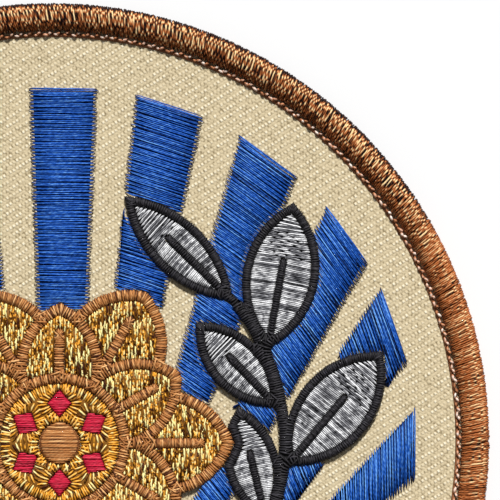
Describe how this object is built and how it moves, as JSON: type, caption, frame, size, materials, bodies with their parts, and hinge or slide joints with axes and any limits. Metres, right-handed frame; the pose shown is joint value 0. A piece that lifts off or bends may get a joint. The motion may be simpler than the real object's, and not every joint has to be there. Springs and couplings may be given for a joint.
{
  "type": "embroidered squadron patch",
  "caption": "Round embroidered cloth patch with a rolled thread border, blue satin rays, a gold rosette and two grey leaf sprays on cream twill.",
  "frame": {"origin": "middle of the flat back, under the border's centre", "axes": "+Z out of the embroidered face, +Y up the emblem as it is worn, +X to the right as seen from the front"},
  "size_m": [0.1016, 0.1016, 0.0024],
  "materials": {
    "twill": "woven twill, matt",
    "border_thread": "rayon thread, silky",
    "blue_thread": "rayon thread, silky",
    "grey_thread": "rayon thread, silky",
    "black_thread": "rayon thread, silky",
    "brown_thread": "rayon thread, silky",
    "gold_thread": "rayon thread, silky",
    "crimson_thread": "rayon thread, silky"
  },
  "bodies": {
    "root": {"twill_ground": "twill", "border_roll": "border_thread", "border_chain": "border_thread", "ray_0": "blue_thread", "ray_right_1": "blue_thread", "ray_right_2": "blue_thread", "ray_right_3": "blue_thread", "ray_right_4": "blue_thread", "ray_right_5": "blue_thread", "ray_right_6": "blue_thread", "ray_right_7": "blue_thread", "ray_left_1": "blue_thread", "ray_left_2": "blue_thread", "ray_left_3": "blue_thread", "ray_left_4": "blue_thread", "ray_left_5": "blue_thread", "ray_left_6": "blue_thread", "ray_left_7": "blue_thread", "leaf_right_1": "grey_thread", "leaf_right_2": "grey_thread", "leaf_right_3": "grey_thread", "leaf_right_4": "grey_thread", "leaf_right_5": "grey_thread", "leaf_right_6": "grey_thread", "leaf_right_7": "grey_thread", "leaf_right_8": "grey_thread", "leaf_left_1": "grey_thread", "leaf_left_2": "grey_thread", "leaf_left_3": "grey_thread", "leaf_left_4": "grey_thread", "leaf_left_5": "grey_thread", "leaf_left_6": "grey_thread", "leaf_left_7": "grey_thread", "leaf_left_8": "grey_thread", "spray_outline_right": "black_thread", "spray_outline_left": "black_thread", "inner_petal_1": "gold_thread", "inner_petal_2": "gold_thread", "inner_petal_3": "gold_thread", "inner_petal_4": "gold_thread", "inner_petal_5": "gold_thread", "inner_petal_6": "gold_thread", "outer_petal_1": "gold_thread", "outer_petal_2": "gold_thread", "outer_petal_3": "gold_thread", "outer_petal_4": "gold_thread", "outer_petal_5": "gold_thread", "outer_petal_6": "gold_thread", "petal_outline": "brown_thread", "lozenge_1": "crimson_thread", "lozenge_2": "crimson_thread", "lozenge_3": "crimson_thread", "lozenge_4": "crimson_thread", "lozenge_5": "crimson_thread", "lozenge_6": "crimson_thread", "lozenge_band": "gold_thread", "boss": "brown_thread", "spray_tie": "gold_thread", "fan_foot": "gold_thread"}
  },
  "joints": []
}
